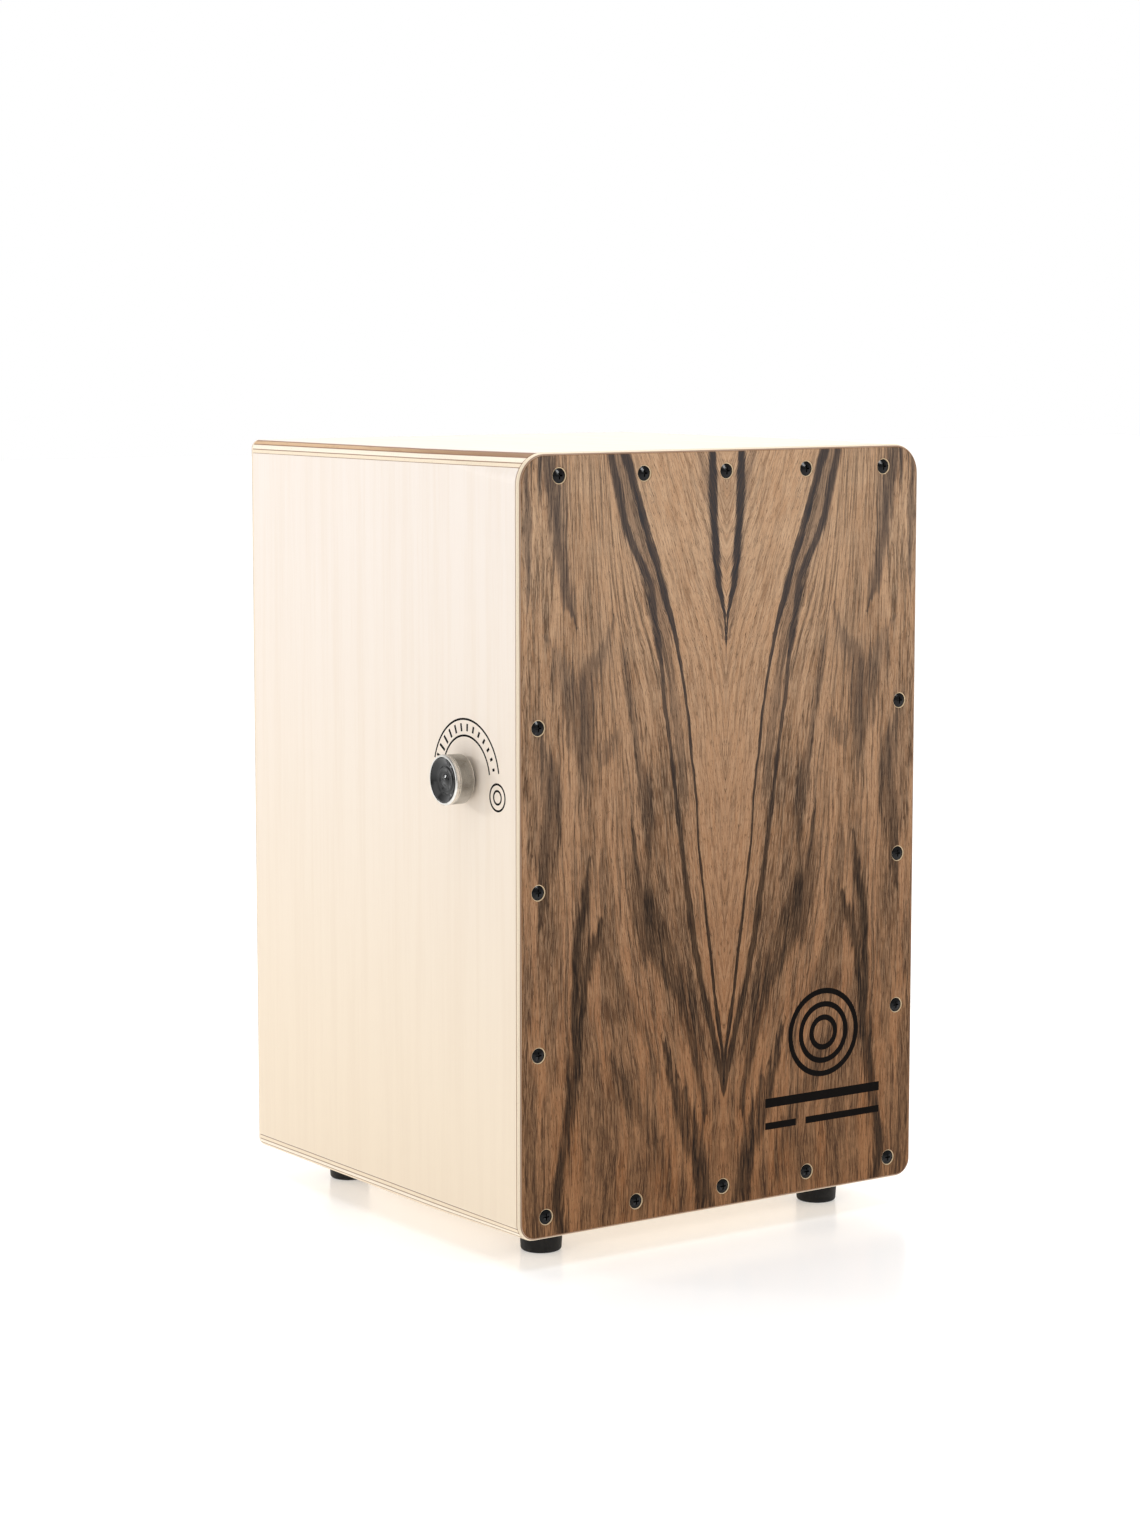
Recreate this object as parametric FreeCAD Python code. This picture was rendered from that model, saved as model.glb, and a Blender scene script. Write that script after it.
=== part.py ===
"""Cajon: a plywood box drum with a screwed-on playing face and a snare turned by a side knob.

Millimetres, +Z up. The drum stands on the plane z = 0 and is played on its -Y face. The knob is
on the -X side. The origin is on the floor at the middle of the overall footprint, knob included.
"""
import FreeCAD
import Part
import math
import os

from FreeCAD import Vector

# Outside of the box
WIDTH = 311.0
DEPTH = 320.0
HEIGHT = 480.0
WALL = 9.0
BACK_PLATE = 5.0
TAPA_CORE = 3.6
TAPA_VENEER = 0.4
TAPA = TAPA_CORE + TAPA_VENEER

# Rounding of the outside. The long edges keep one radius over most of the depth, and grow
# towards the tapa so that they meet its larger corners.
TOP_CORNER_FRONT = 19.0
TOP_CORNER_BACK = 6.0
BOTTOM_CORNER_FRONT = 11.5
BOTTOM_CORNER_BACK = 5.5
BLEND_LENGTH = 110.0
TAPA_ROUND = 3.2
BACK_ROUND = 4.5
TAPA_BACK_CHAMFER = 0.5

# Battens inside the front and the back of the box
BATTEN = 12.0
FRONT_BATTEN_DEPTH = 20.0
BACK_BATTEN_DEPTH = 12.0

# Sound hole in the back plate
SOUND_HOLE_RADIUS = 60.0
SOUND_HOLE_HEIGHT = 260.0
SOUND_HOLE_ROUND = 1.5

# Tapa screws: distances from the edges and spacings along each side
SCREW_INSET = 14.0
TOP_ROW_SPACING = 63.0
BOTTOM_ROW_SPACING = 68.0
SIDE_ROW_HEIGHTS = (115.0, 215.0, 315.0)
SCREW_HEAD_RADIUS = 4.6
SCREW_DOME = 0.9
SCREW_SHANK_RADIUS = 1.75
SCREW_HOLE_RADIUS = 2.0
SCREW_LENGTH = 20.0
COUNTERSINK_RADIUS = 5.5
RECESS_WIDTH = 0.9
RECESS_SPAN = 4.4
RECESS_DEPTH = 1.6

# Rubber feet
FOOT_HEIGHT = 19.0
FOOT_RADIUS = 14.0
FOOT_TAPER = 1.2
FOOT_ROUND = 2.0
FOOT_SIDE_INSET = 45.0
FOOT_FRONT_INSET = 43.0
FOOT_BACK_INSET = 47.0
FOOT_RECESS_RADIUS = 6.2
FOOT_RECESS_DEPTH = 11.0
FOOT_SCREW_RADIUS = 2.0
FOOT_SCREW_GRIP = 8.0
FOOT_SCREW_HEAD_RADIUS = 3.8
FOOT_SCREW_HEAD_HEIGHT = 2.6
FOOT_SCREW_HEAD_ROUND = 1.2
WASHER_THICKNESS = 1.0
WASHER_PLAY = 0.4

# Snare knob and its shaft
KNOB_SETBACK = 58.0
KNOB_HEIGHT = 280.0
KNOB_REACH = 17.0
KNOB_GAP = 3.2
KNOB_RADIUS = 15.1
KNOB_RIM_RADIUS = 15.6
KNOB_RIM_LENGTH = 2.6
KNOB_GROOVE_RADIUS = 14.5
KNOB_GROOVE_LENGTH = 0.8
KNOB_CHAMFER = 0.6
CAP_RADIUS = 14.2
CAP_DEPTH = 4.0
# The cap's face as (distance in from its edge, depth below the knob's rim)
CAP_FACE = (
    (0.0, 0.4),
    (0.8, 0.1),
    (2.2, 0.9),
    (4.2, 1.9),
    (5.4, 2.1),
    (6.4, 1.5),
    (7.4, 1.6),
    (9.0, 2.3),
    (10.4, 2.2),
    (11.2, 1.7),
    (12.8, 1.3),
    (CAP_RADIUS, 1.2),
)
SHAFT_RADIUS = 4.0
SHAFT_CLEARANCE = 0.05
SHAFT_IN_KNOB = 9.0
BUSHING_RADIUS = 7.0
FLANGE_RADIUS = 11.0
FLANGE_THICKNESS = 2.5
FELT_RADIUS = 10.5
FELT_GAP = 0.2
BUSHING_SETBACK = 0.5
COLLAR_RADIUS = 8.0
COLLAR_LENGTH = 9.0
COLLAR_GAP = 0.5
SET_SCREW_RADIUS = 2.0
SOCKET_RADIUS = 1.0
SOCKET_DEPTH = 1.8

# Snare bar and wires, drawn upright on the shaft and then leaned towards the tapa
BAR_LENGTH = 250.0
BAR_HALF_THICKNESS = 8.0
BAR_BELOW = 9.0
BAR_ABOVE = 19.0
WIRE_RADIUS = 0.9
WIRE_PITCH = 6.0
WIRES_PER_SET = 8
WIRE_SET_OFFSET = 62.0
WIRE_FOOT = 2.0
WIRE_TIP = 150.0
PLATE_THICKNESS = 1.2
PLATE_OVERHANG = 6.0
CLAMP_HEIGHT = 10.0
CLAMP_SCREW_RADIUS = 1.5
CLAMP_SCREW_GRIP = 10.0
CLAMP_HEAD_RADIUS = 2.8
CLAMP_HEAD_HEIGHT = 1.8
CLAMP_HEAD_ROUND = 0.8
BAR_ROUND = 1.5
BAR_SCREW_INSETS = (15.0, 30.0)
BAR_SCREW_HEAD_RADIUS = 3.5
BAR_SCREW_HEAD_HEIGHT = 2.2
SNARE_GAP = 0.4
SNARE_TURN = 45.0

# Right-hand bearing block and the pin that stops the bar
BLOCK_THICKNESS = 14.0
BLOCK_FRONT = 16.0
BLOCK_BACK = 34.0
BLOCK_HALF_HEIGHT = 18.0
BLOCK_SCREW_PLACES = ((-9.0, -11.0), (26.0, -11.0))
PIN_RADIUS = 3.0
SLEEVE_RADIUS = 5.0
PIN_HEIGHT_ON_BAR = 13.0
PIN_LENGTH = 24.0
PIN_SEAT = 8.0
PIN_GAP = 0.3
SLEEVE_GAP = 0.5
BLOCK_ROUND = 2.0
BLOCK_SCREW_ROOM = 0.5

# Places that follow from the sizes above
X_LEFT = KNOB_REACH / 2 - WIDTH / 2
X_RIGHT = X_LEFT + WIDTH
X_MIDDLE = (X_LEFT + X_RIGHT) / 2
Y_FRONT = -DEPTH / 2
Y_BACK = DEPTH / 2
Z_BOTTOM = FOOT_HEIGHT
Z_TOP = FOOT_HEIGHT + HEIGHT
Y_BODY = Y_FRONT + TAPA
Y_PLATE = Y_BACK - BACK_PLATE
SHAFT_Y = Y_FRONT + KNOB_SETBACK
SHAFT_Z = Z_BOTTOM + KNOB_HEIGHT
SHAFT_END = X_RIGHT - WALL - 1.0
COLLAR_START = X_LEFT + WALL + FLANGE_THICKNESS + COLLAR_GAP
BLOCK_FACE = X_RIGHT - WALL - BLOCK_THICKNESS
PIN_END = BLOCK_FACE - PIN_LENGTH
HEAD_SINK = COUNTERSINK_RADIUS - SCREW_HEAD_RADIUS

X_AXIS = Vector(1, 0, 0)
Y_AXIS = Vector(0, 1, 0)
Z_AXIS = Vector(0, 0, 1)

# Turns that lay a shape drawn along +Z along another direction
TOWARDS_BACK = (X_AXIS, -90)
TOWARDS_LEFT = (Y_AXIS, -90)
TOWARDS_RIGHT = (Y_AXIS, 90)


# Two lengths closer than this are the same length
SAME = 0.01


def block(x0, x1, y0, y1, z0, z1):
    """A box between two corners."""
    return Part.makeBox(x1 - x0, y1 - y0, z1 - z0, Vector(x0, y0, z0))


def rod(radius, start, end):
    """A round bar from start to end."""
    axis = end - start
    return Part.makeCylinder(radius, axis.Length, start, axis)


def shaft_rod(radius, x0, x1):
    """A round bar on the shaft's axis, from x0 to x1."""
    return rod(radius, Vector(x0, SHAFT_Y, SHAFT_Z), Vector(x1, SHAFT_Y, SHAFT_Z))


def turned(points, origin, axis_angle=None):
    """A solid of revolution about Z from (radius, height) points, moved to origin.

    axis_angle is an optional (axis, degrees) turn made before the move.
    """
    outline = Part.makePolygon([Vector(r, 0, h) for r, h in points + points[:1]])
    solid = Part.Face(outline).revolve(Vector(0, 0, 0), Z_AXIS, 360)
    if axis_angle:
        solid.rotate(Vector(0, 0, 0), axis_angle[0], axis_angle[1])
    solid.translate(origin)
    return solid


def cut_all(solid, tools):
    """The solid with every tool cut away."""
    return solid.cut(Part.makeCompound(tools))


def round_edges(solid, radius, wanted):
    """Rounds each edge for which wanted(edge) is true."""
    return solid.makeFillet(radius, [edge for edge in solid.Edges if wanted(edge)])


def lies_on(edge, axis, value):
    """True when the whole edge lies in the plane where that coordinate equals value."""
    box = edge.BoundBox
    spans = {"x": (box.XMin, box.XMax), "y": (box.YMin, box.YMax), "z": (box.ZMin, box.ZMax)}
    return all(abs(end - value) < SAME for end in spans[axis])


def long_edges(solid, z):
    """The two edges along Y at height z."""
    return [edge for edge in solid.Edges if lies_on(edge, "z", z) and edge.BoundBox.YLength > SAME]


def growing_fillet(solid, radius_front, radius_back, z):
    """Rounds the long edges at height z, with one radius at the front and another at the back."""
    for x in (X_LEFT, X_RIGHT):
        edge = [e for e in long_edges(solid, z) if lies_on(e, "x", x)][0]
        starts_at_front = edge.valueAt(edge.FirstParameter).y < edge.valueAt(edge.LastParameter).y
        first, last = (radius_front, radius_back) if starts_at_front else (radius_back, radius_front)
        solid = solid.makeFillet(first, last, [edge])
    return solid


def make_envelope():
    """The outside of the closed box, with all its roundings."""
    y_blend = Y_FRONT + BLEND_LENGTH
    front = block(X_LEFT, X_RIGHT, Y_FRONT, y_blend, Z_BOTTOM, Z_TOP)
    front = growing_fillet(front, TOP_CORNER_FRONT, TOP_CORNER_BACK, Z_TOP)
    front = growing_fillet(front, BOTTOM_CORNER_FRONT, BOTTOM_CORNER_BACK, Z_BOTTOM)
    front = round_edges(front, TAPA_ROUND, lambda e: lies_on(e, "y", Y_FRONT))
    back = block(X_LEFT, X_RIGHT, y_blend, Y_BACK, Z_BOTTOM, Z_TOP)
    back = back.makeFillet(TOP_CORNER_BACK, long_edges(back, Z_TOP))
    back = back.makeFillet(BOTTOM_CORNER_BACK, long_edges(back, Z_BOTTOM))
    back = round_edges(back, BACK_ROUND, lambda e: lies_on(e, "y", Y_BACK))
    return front.fuse(back).removeSplitter()


def tapa_screw_places():
    """(x, z) of each tapa screw."""
    z_high = Z_TOP - SCREW_INSET
    z_low = Z_BOTTOM + SCREW_INSET
    places = [(X_MIDDLE + n * TOP_ROW_SPACING, z_high) for n in (-2, -1, 0, 1, 2)]
    places += [(X_MIDDLE + n * BOTTOM_ROW_SPACING, z_low) for n in (-2, -1, 0, 1, 2)]
    for x in (X_LEFT + SCREW_INSET, X_RIGHT - SCREW_INSET):
        places += [(x, Z_BOTTOM + height) for height in SIDE_ROW_HEIGHTS]
    return places


def countersunk_screw(head_radius, shank_radius, length, dome):
    """An oval-head cross-recess screw along +Z, with the rim of its head at z = 0."""
    cone = head_radius - shank_radius
    ball_radius = (head_radius ** 2 + dome ** 2) / (2 * dome)
    head = Part.makeSphere(ball_radius, Vector(0, 0, ball_radius - dome))
    head = head.common(Part.makeCylinder(head_radius, dome, Vector(0, 0, -dome)))
    screw = head.fuse(Part.makeCone(head_radius, shank_radius, cone))
    point = 2 * shank_radius
    shank = Part.makeCylinder(shank_radius, length - cone - point, Vector(0, 0, cone))
    tip = Part.makeCone(shank_radius, shank_radius / 4, point, Vector(0, 0, length - point))
    screw = screw.fuse([shank, tip]).removeSplitter()
    span = RECESS_SPAN / 2
    half = RECESS_WIDTH / 2
    floor = RECESS_DEPTH - dome
    slots = [
        block(-span, span, -half, half, -dome, floor),
        block(-half, half, -span, span, -dome, floor),
    ]
    return cut_all(screw, slots)


def tapa_screws():
    """The screws of the tapa, each rim sunk below the face."""
    screws = []
    for x, z in tapa_screw_places():
        screw = countersunk_screw(SCREW_HEAD_RADIUS, SCREW_SHANK_RADIUS, SCREW_LENGTH, SCREW_DOME)
        screw.rotate(Vector(0, 0, 0), *TOWARDS_BACK)
        screw.translate(Vector(x, Y_FRONT + HEAD_SINK, z))
        screws.append(screw)
    return Part.makeCompound(screws)


def tapa_holes():
    """Countersunk holes through the tapa."""
    depth = COUNTERSINK_RADIUS - SCREW_HOLE_RADIUS
    profile = [
        (0, -1),
        (COUNTERSINK_RADIUS + 1, -1),
        (SCREW_HOLE_RADIUS, depth),
        (SCREW_HOLE_RADIUS, TAPA + 1),
        (0, TAPA + 1),
    ]
    return [turned(profile, Vector(x, Y_FRONT, z), TOWARDS_BACK) for x, z in tapa_screw_places()]


def batten_holes():
    """Pilot holes for the tapa screws in the front battens."""
    y_end = Y_FRONT + HEAD_SINK + SCREW_LENGTH
    places = tapa_screw_places()
    return [rod(SCREW_SHANK_RADIUS, Vector(x, Y_FRONT, z), Vector(x, y_end, z)) for x, z in places]


def ring_of_battens(y0, y1, holes):
    """Four battens around the inside of the box, from y0 to y1, by side."""
    x0 = X_LEFT + WALL
    x1 = X_RIGHT - WALL
    z0 = Z_BOTTOM + WALL
    z1 = Z_TOP - WALL
    battens = {
        "top": block(x0, x1, y0, y1, z1 - BATTEN, z1),
        "bottom": block(x0, x1, y0, y1, z0, z0 + BATTEN),
        "left": block(x0, x0 + BATTEN, y0, y1, z0 + BATTEN, z1 - BATTEN),
        "right": block(x1 - BATTEN, x1, y0, y1, z0 + BATTEN, z1 - BATTEN),
    }
    return {side: cut_all(batten, holes) if holes else batten for side, batten in battens.items()}


def foot_places():
    """Name and centre of each foot."""
    columns = (("left", X_LEFT + FOOT_SIDE_INSET), ("right", X_RIGHT - FOOT_SIDE_INSET))
    rows = (("front", Y_FRONT + FOOT_FRONT_INSET), ("back", Y_BACK - FOOT_BACK_INSET))
    return [(row + "_" + column, x, y) for row, y in rows for column, x in columns]


def rubber_foot(x, y):
    """A tapered rubber foot with a recess for its screw."""
    bottom_radius = FOOT_RADIUS - FOOT_TAPER
    profile = [
        (FOOT_SCREW_RADIUS, FOOT_RECESS_DEPTH),
        (FOOT_RECESS_RADIUS, FOOT_RECESS_DEPTH),
        (FOOT_RECESS_RADIUS, 0),
        (bottom_radius, 0),
        (FOOT_RADIUS, FOOT_HEIGHT),
        (FOOT_SCREW_RADIUS, FOOT_HEIGHT),
    ]
    foot = turned(profile, Vector(x, y, 0))
    outer_width = 2 * bottom_radius - SAME
    return round_edges(foot, FOOT_ROUND, lambda e: lies_on(e, "z", 0) and e.BoundBox.XLength > outer_width)


def foot_washer(x, y):
    """The steel washer at the bottom of a foot's recess."""
    z = FOOT_RECESS_DEPTH - WASHER_THICKNESS
    ring = Part.makeCylinder(FOOT_RECESS_RADIUS - WASHER_PLAY, WASHER_THICKNESS, Vector(x, y, z))
    return ring.cut(Part.makeCylinder(FOOT_SCREW_RADIUS, WASHER_THICKNESS, Vector(x, y, z)))


def foot_screw(x, y):
    """The pan-head screw that holds a foot, pointing up."""
    z_head = FOOT_RECESS_DEPTH - WASHER_THICKNESS - FOOT_SCREW_HEAD_HEIGHT
    head = Part.makeCylinder(FOOT_SCREW_HEAD_RADIUS, FOOT_SCREW_HEAD_HEIGHT, Vector(x, y, z_head))
    head = round_edges(head, FOOT_SCREW_HEAD_ROUND, lambda e: lies_on(e, "z", z_head))
    shank = rod(FOOT_SCREW_RADIUS, Vector(x, y, z_head), Vector(x, y, Z_BOTTOM + FOOT_SCREW_GRIP))
    half = RECESS_WIDTH / 2
    span = RECESS_SPAN / 2
    slots = [
        block(x - span, x + span, y - half, y + half, z_head, z_head + RECESS_DEPTH),
        block(x - half, x + half, y - span, y + span, z_head, z_head + RECESS_DEPTH),
    ]
    return cut_all(head.fuse(shank).removeSplitter(), slots)


def knob_barrel():
    """The metal knob: a barrel, a groove, a rim and a recess for the cap."""
    length = KNOB_REACH - KNOB_GAP
    rim_start = length - KNOB_RIM_LENGTH
    groove_start = rim_start - KNOB_GROOVE_LENGTH
    cap_floor = length - CAP_DEPTH
    profile = [
        (0, 0),
        (KNOB_RADIUS - KNOB_CHAMFER, 0),
        (KNOB_RADIUS, KNOB_CHAMFER),
        (KNOB_RADIUS, groove_start),
        (KNOB_GROOVE_RADIUS, groove_start),
        (KNOB_GROOVE_RADIUS, rim_start),
        (KNOB_RIM_RADIUS, rim_start),
        (KNOB_RIM_RADIUS, length - KNOB_CHAMFER),
        (KNOB_RIM_RADIUS - KNOB_CHAMFER, length),
        (CAP_RADIUS, length),
        (CAP_RADIUS, cap_floor),
        (0, cap_floor),
    ]
    barrel = turned(profile, Vector(X_LEFT - KNOB_GAP, SHAFT_Y, SHAFT_Z), TOWARDS_LEFT)
    bore = shaft_rod(SHAFT_RADIUS, X_LEFT - KNOB_GAP - SHAFT_IN_KNOB, X_LEFT)
    x, z_skin = knob_set_screw_place()
    screw_hole = rod(SET_SCREW_RADIUS, Vector(x, SHAFT_Y, z_skin - 1), Vector(x, SHAFT_Y, SHAFT_Z))
    return cut_all(barrel, [bore, screw_hole])


def knob_set_screw_place():
    """The x of the knob's set screw and the z of the barrel's skin under it."""
    return X_LEFT - KNOB_GAP - SHAFT_IN_KNOB / 2, SHAFT_Z - KNOB_RADIUS


def set_screw(x, z_low, z_high):
    """A headless screw that points up at the shaft, with a hexagon socket."""
    screw = rod(SET_SCREW_RADIUS, Vector(x, SHAFT_Y, z_low), Vector(x, SHAFT_Y, z_high))
    corners = []
    for angle in range(0, 361, 60):
        turn = math.radians(angle)
        outward = Vector(SOCKET_RADIUS * math.cos(turn), SOCKET_RADIUS * math.sin(turn), 0)
        corners.append(Vector(x, SHAFT_Y, z_low) + outward)
    socket = Part.Face(Part.makePolygon(corners)).extrude(Vector(0, 0, SOCKET_DEPTH))
    return screw.cut(socket)


def knob_cap():
    """The dished cap in the knob's face, with a raised ring and a dimple in the middle."""
    face = [(CAP_RADIUS - inset, CAP_DEPTH - depth) for inset, depth in CAP_FACE]
    profile = [(0, 0), (CAP_RADIUS, 0)] + face
    x = X_LEFT - KNOB_REACH + CAP_DEPTH
    return turned(profile, Vector(x, SHAFT_Y, SHAFT_Z), TOWARDS_LEFT)


def felt_washer():
    """The felt ring between the knob and the wall, which gives the knob its friction."""
    ring = shaft_rod(FELT_RADIUS, X_LEFT - KNOB_GAP, X_LEFT - FELT_GAP)
    return ring.cut(shaft_rod(SHAFT_RADIUS, X_LEFT - KNOB_GAP, X_LEFT - FELT_GAP))


def shaft_bushing():
    """The flanged bushing that carries the shaft in the left wall."""
    inner = X_LEFT + WALL
    sleeve = shaft_rod(BUSHING_RADIUS, X_LEFT + BUSHING_SETBACK, inner)
    flange = shaft_rod(FLANGE_RADIUS, inner, inner + FLANGE_THICKNESS)
    bore = shaft_rod(SHAFT_RADIUS + SHAFT_CLEARANCE, X_LEFT, inner + FLANGE_THICKNESS)
    return sleeve.fuse(flange).removeSplitter().cut(bore)


def shaft_collar():
    """The collar that keeps the shaft from sliding out."""
    collar = shaft_rod(COLLAR_RADIUS, COLLAR_START, COLLAR_START + COLLAR_LENGTH)
    bore = shaft_rod(SHAFT_RADIUS, COLLAR_START, COLLAR_START + COLLAR_LENGTH)
    x = COLLAR_START + COLLAR_LENGTH / 2
    z_low = SHAFT_Z - COLLAR_RADIUS - 1
    hole = rod(SET_SCREW_RADIUS, Vector(x, SHAFT_Y, z_low), Vector(x, SHAFT_Y, SHAFT_Z))
    return cut_all(collar, [bore, hole])


def snare_lean():
    """Degrees by which the bar leans forward when the wire tips reach the tapa."""
    reach = KNOB_SETBACK - TAPA - SNARE_GAP
    front = BAR_HALF_THICKNESS + PLATE_THICKNESS + 2 * WIRE_RADIUS
    radius = math.hypot(WIRE_TIP, front)
    return math.degrees(math.asin(reach / radius) - math.atan2(front, WIRE_TIP))


def lean(shape, degrees):
    """The shape turned about the shaft so that its top leans towards the tapa."""
    shape.rotate(Vector(0, SHAFT_Y, SHAFT_Z), X_AXIS, degrees)
    return shape


def snare_bar():
    """The hardwood bar on the shaft, with bores for the shaft, clamp and bar screws."""
    x0 = X_MIDDLE - BAR_LENGTH / 2
    x1 = X_MIDDLE + BAR_LENGTH / 2
    y0 = SHAFT_Y - BAR_HALF_THICKNESS
    y1 = SHAFT_Y + BAR_HALF_THICKNESS
    bar = block(x0, x1, y0, y1, SHAFT_Z - BAR_BELOW, SHAFT_Z + BAR_ABOVE)
    bar = round_edges(bar, BAR_ROUND, lambda e: abs(e.BoundBox.XLength - BAR_LENGTH) < SAME)
    holes = [shaft_rod(SHAFT_RADIUS, x0, x1)]
    for x in bar_screw_places():
        holes.append(rod(SET_SCREW_RADIUS, Vector(x, SHAFT_Y, SHAFT_Z), Vector(x, y1 + 1, SHAFT_Z)))
    for x, z in clamp_screw_places(-1) + clamp_screw_places(1):
        holes.append(rod(CLAMP_SCREW_RADIUS, Vector(x, y0 - 1, z), Vector(x, y0 + CLAMP_SCREW_GRIP, z)))
    return cut_all(bar, holes)


def bar_screw_places():
    """The x of each screw that locks the bar on the shaft."""
    from_left, from_right = BAR_SCREW_INSETS
    return [X_MIDDLE - BAR_LENGTH / 2 + from_left, X_MIDDLE + BAR_LENGTH / 2 - from_right]


def bar_screws():
    """Pan-head screws from the bar's back face to the shaft."""
    y_face = SHAFT_Y + BAR_HALF_THICKNESS
    screws = []
    for x in bar_screw_places():
        seat = Vector(x, y_face, SHAFT_Z)
        shank = rod(SET_SCREW_RADIUS, Vector(x, SHAFT_Y + SHAFT_RADIUS, SHAFT_Z), seat)
        head = rod(BAR_SCREW_HEAD_RADIUS, seat, seat + Vector(0, BAR_SCREW_HEAD_HEIGHT, 0))
        screws.append(shank.fuse(head).removeSplitter())
    return Part.makeCompound(screws)


def set_middle(side):
    """The x of the middle of the left (-1) or right (1) set of wires."""
    return X_MIDDLE + side * WIRE_SET_OFFSET


def wire_set(side):
    """The strands of one set, standing on the front of the bar."""
    y = SHAFT_Y - BAR_HALF_THICKNESS - PLATE_THICKNESS - WIRE_RADIUS
    strands = []
    for n in range(WIRES_PER_SET):
        x = set_middle(side) + (n - (WIRES_PER_SET - 1) / 2) * WIRE_PITCH
        foot = Vector(x, y, SHAFT_Z + WIRE_FOOT)
        strands.append(rod(WIRE_RADIUS, foot, Vector(x, y, SHAFT_Z + WIRE_TIP)))
    return Part.makeCompound(strands)


def strip_across(side, y):
    """A drilled strip across one set of strands, with its back at y."""
    half = plate_half_length()
    middle = set_middle(side)
    z0 = SHAFT_Z + WIRE_FOOT
    strip = block(middle - half, middle + half, y - PLATE_THICKNESS, y, z0, z0 + CLAMP_HEIGHT)
    return cut_all(strip, clamp_screw_bores(side))


def end_plate(side):
    """The metal strip that the strands of one set are soldered to."""
    return strip_across(side, SHAFT_Y - BAR_HALF_THICKNESS)


def clamp_strip(side):
    """The strip screwed over the ends of one set of strands."""
    return strip_across(side, SHAFT_Y - BAR_HALF_THICKNESS - PLATE_THICKNESS - 2 * WIRE_RADIUS)


def plate_half_length():
    """Half the length of an end plate."""
    return (WIRES_PER_SET - 1) / 2 * WIRE_PITCH + PLATE_OVERHANG


def clamp_screw_places(side):
    """(x, z) of the two screws at the ends of one set's plate."""
    offset = plate_half_length() - PLATE_OVERHANG / 2
    z = SHAFT_Z + WIRE_FOOT + CLAMP_HEIGHT / 2
    return [(set_middle(side) - offset, z), (set_middle(side) + offset, z)]


def clamp_screw_bores(side):
    """Holes through the plates for the clamp screws."""
    y_bar = SHAFT_Y - BAR_HALF_THICKNESS
    y_out = y_bar - CLAMP_SCREW_GRIP
    places = clamp_screw_places(side)
    return [rod(CLAMP_SCREW_RADIUS, Vector(x, y_out, z), Vector(x, y_bar, z)) for x, z in places]


def clamp_screws():
    """The screws that hold both sets of wires on the bar."""
    y_seat = SHAFT_Y - BAR_HALF_THICKNESS - 2 * PLATE_THICKNESS - 2 * WIRE_RADIUS
    y_top = y_seat - CLAMP_HEAD_HEIGHT
    y_end = SHAFT_Y - BAR_HALF_THICKNESS + CLAMP_SCREW_GRIP
    screws = []
    for x, z in clamp_screw_places(-1) + clamp_screw_places(1):
        seat = Vector(x, y_seat, z)
        head = rod(CLAMP_HEAD_RADIUS, Vector(x, y_top, z), seat)
        head = round_edges(head, CLAMP_HEAD_ROUND, lambda e: lies_on(e, "y", y_top))
        shank = rod(CLAMP_SCREW_RADIUS, seat, Vector(x, y_end, z))
        screws.append(head.fuse(shank).removeSplitter())
    return Part.makeCompound(screws)


def stop_pin_centre():
    """(y, z) of the pin that the back of the bar meets when the snare is fully off."""
    away = BAR_HALF_THICKNESS + SLEEVE_RADIUS + PIN_GAP
    angle = math.radians(snare_lean() - SNARE_TURN)
    y = away * math.cos(angle) - PIN_HEIGHT_ON_BAR * math.sin(angle)
    z = away * math.sin(angle) + PIN_HEIGHT_ON_BAR * math.cos(angle)
    return SHAFT_Y + y, SHAFT_Z + z


def stop_rod(radius, x0, x1):
    """A round bar on the stop pin's axis."""
    y, z = stop_pin_centre()
    return rod(radius, Vector(x0, y, z), Vector(x1, y, z))


def bearing_block():
    """The wooden block on the right wall that carries the end of the shaft."""
    solid = block(
        BLOCK_FACE, X_RIGHT - WALL,
        SHAFT_Y - BLOCK_FRONT, SHAFT_Y + BLOCK_BACK,
        SHAFT_Z - BLOCK_HALF_HEIGHT, SHAFT_Z + BLOCK_HALF_HEIGHT,
    )
    solid = round_edges(solid, BLOCK_ROUND, lambda e: lies_on(e, "x", BLOCK_FACE))
    holes = [
        shaft_rod(SHAFT_RADIUS + SHAFT_CLEARANCE, BLOCK_FACE, X_RIGHT - WALL),
        stop_rod(PIN_RADIUS, BLOCK_FACE, BLOCK_FACE + PIN_SEAT),
    ]
    return cut_all(solid, holes + block_screw_rooms())


def block_screw(y, z):
    """A countersunk screw through the bearing block into the right wall."""
    screw = countersunk_screw(SCREW_HEAD_RADIUS, SCREW_SHANK_RADIUS, SCREW_LENGTH, SCREW_DOME)
    screw.rotate(Vector(0, 0, 0), *TOWARDS_RIGHT)
    screw.translate(Vector(BLOCK_FACE + SCREW_DOME, SHAFT_Y + y, SHAFT_Z + z))
    return screw


def block_screw_rooms():
    """The holes for the bearing block's screws and their heads."""
    front = -SCREW_DOME - BLOCK_SCREW_ROOM
    profile = [
        (0, front),
        (SCREW_HEAD_RADIUS - front, front),
        (SCREW_HEAD_RADIUS, 0),
        (SCREW_SHANK_RADIUS, SCREW_HEAD_RADIUS - SCREW_SHANK_RADIUS),
        (SCREW_SHANK_RADIUS, SCREW_LENGTH),
        (0, SCREW_LENGTH),
    ]
    x = BLOCK_FACE + SCREW_DOME
    rooms = []
    for y, z in BLOCK_SCREW_PLACES:
        rooms.append(turned(profile, Vector(x, SHAFT_Y + y, SHAFT_Z + z), TOWARDS_RIGHT))
    return rooms


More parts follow.
